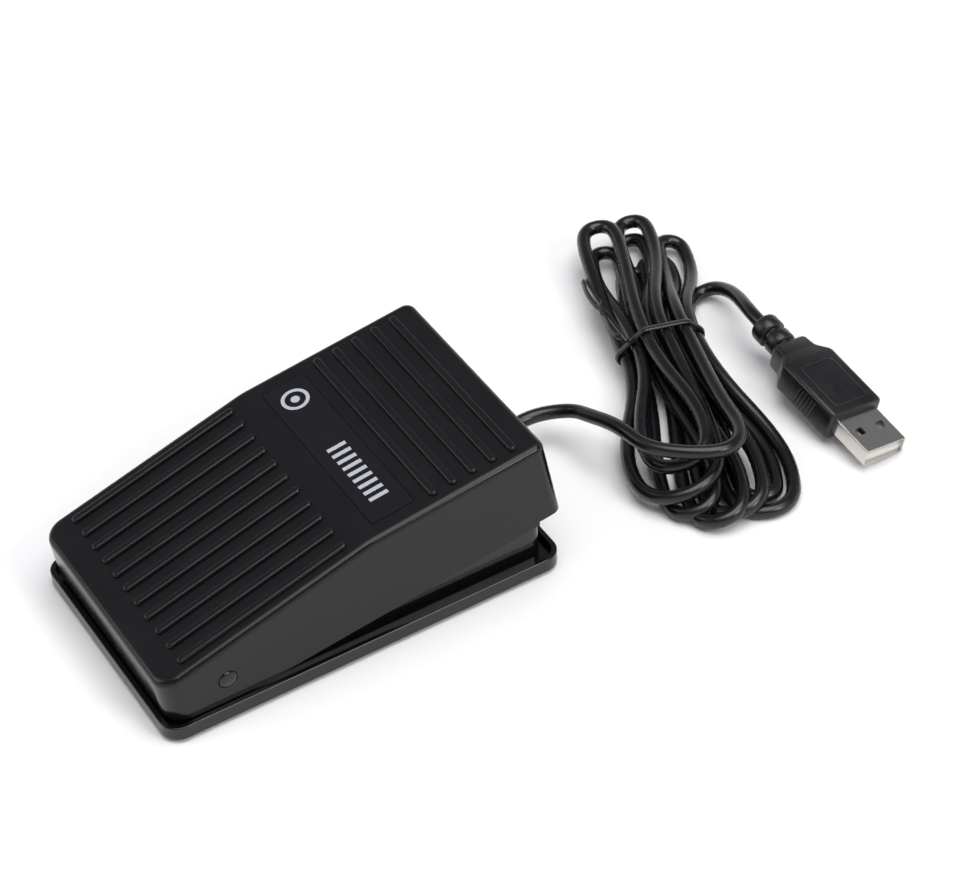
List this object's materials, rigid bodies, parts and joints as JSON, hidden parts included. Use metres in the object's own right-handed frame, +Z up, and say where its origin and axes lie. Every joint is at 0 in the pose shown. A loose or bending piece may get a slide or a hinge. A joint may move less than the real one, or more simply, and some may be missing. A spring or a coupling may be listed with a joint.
{
  "type": "foot pedal switch",
  "caption": "Low rectangular foot switch: a ribbed hinged pedal that tilts over a tray base, with a spring, a snap switch and a lead tied in a hank with a moulded plug.",
  "frame": {"origin": "centre of the footprint of the base and pedal, level with the underside of the rubber feet", "axes": "+Z up, +Y along the length towards the high end where the lead comes out, +X to the right of someone who looks along +Y"},
  "size_m": [0.1103, 0.1915, 0.0385],
  "materials": {
    "base_plastic": "black moulded plastic, lightly satin",
    "pedal_plastic": "black moulded plastic, satin on top and smoother on its sides",
    "label_film": "dark glossy label under clear film",
    "board_green": "green solder mask over glass fibre",
    "zinc_steel": "zinc-plated screws",
    "spring_steel": "bright spring steel",
    "switch_plastic": "dark moulded switch case",
    "plunger_plastic": "red switch button",
    "chip_plastic": "black moulded package",
    "tin_can": "drawn metal can",
    "white_nylon": "white nylon",
    "cord_rubber": "black PVC cord jacket, satin",
    "tie_plastic": "black plastic-covered wire",
    "plug_rubber": "black PVC plug moulding, satin",
    "plated_shell": "nickel-plated steel",
    "tongue_plastic": "white plug insulator",
    "contact_metal": "gold-plated contacts",
    "foot_rubber": "black rubber",
    "lead_red": "red wire insulation",
    "lead_white": "white wire insulation",
    "lead_green": "green wire insulation",
    "lead_black": "black wire insulation"
  },
  "bodies": {
    "base": {"base_tray": "base_plastic", "board_screws": "zinc_steel", "cable_bush": "cord_rubber", "cable_clamp": "base_plastic", "cable_end": "cord_rubber", "capacitors": "tin_can", "circuit_board": "board_green", "clamp_screws": "zinc_steel", "controller_chip": "chip_plastic", "cord_hank": "cord_rubber", "cord_lead_out": "cord_rubber", "cord_tie": "tie_plastic", "cord_to_plug": "cord_rubber", "crystal_can": "tin_can", "lead_black": "lead_black", "lead_green": "lead_green", "lead_header": "white_nylon", "lead_red": "lead_red", "lead_white": "lead_white", "plug_contacts": "contact_metal", "plug_overmould": "plug_rubber", "plug_shell": "plated_shell", "plug_tongue": "tongue_plastic", "resistors": "chip_plastic", "return_spring": "spring_steel", "rubber_foot_front_left": "foot_rubber", "rubber_foot_front_right": "foot_rubber", "rubber_foot_rear_left": "foot_rubber", "rubber_foot_rear_right": "foot_rubber", "switch_case": "switch_plastic", "switch_lid": "switch_plastic", "switch_terminals": "spring_steel"},
    "pedal": {"pedal_cover": "pedal_plastic", "label_plate": "label_film"},
    "lever": {"switch_lever": "spring_steel"},
    "plunger": {"switch_plunger": "plunger_plastic"}
  },
  "joints": [
    {"name": "pedal_hinge", "type": "hinge", "parent": "base", "child": "pedal", "pos_m": [0, -0.0352, 0.0115], "axis": [-1, 0, 0], "range_deg": [0, 7.5], "stiffness_Nm_per_rad": 1.5, "springref_deg": -3.78, "deforming": ["return_spring"]},
    {"name": "lever_hinge", "type": "hinge", "parent": "base", "child": "lever", "pos_m": [0, -0.0259, 0.0183], "axis": [-1, 0, 0], "range_deg": [0, 12.4]},
    {"name": "plunger_slide", "type": "slide", "parent": "base", "child": "plunger", "axis": [0, 0, -1], "range_m": [0, 0.00146]}
  ],
  "couplings": [
    {"joint": "lever_hinge", "follows": "pedal_hinge", "ratio": 1.6471},
    {"joint": "plunger_slide", "follows": "pedal_hinge", "m_per_rad": 0.011}
  ]
}
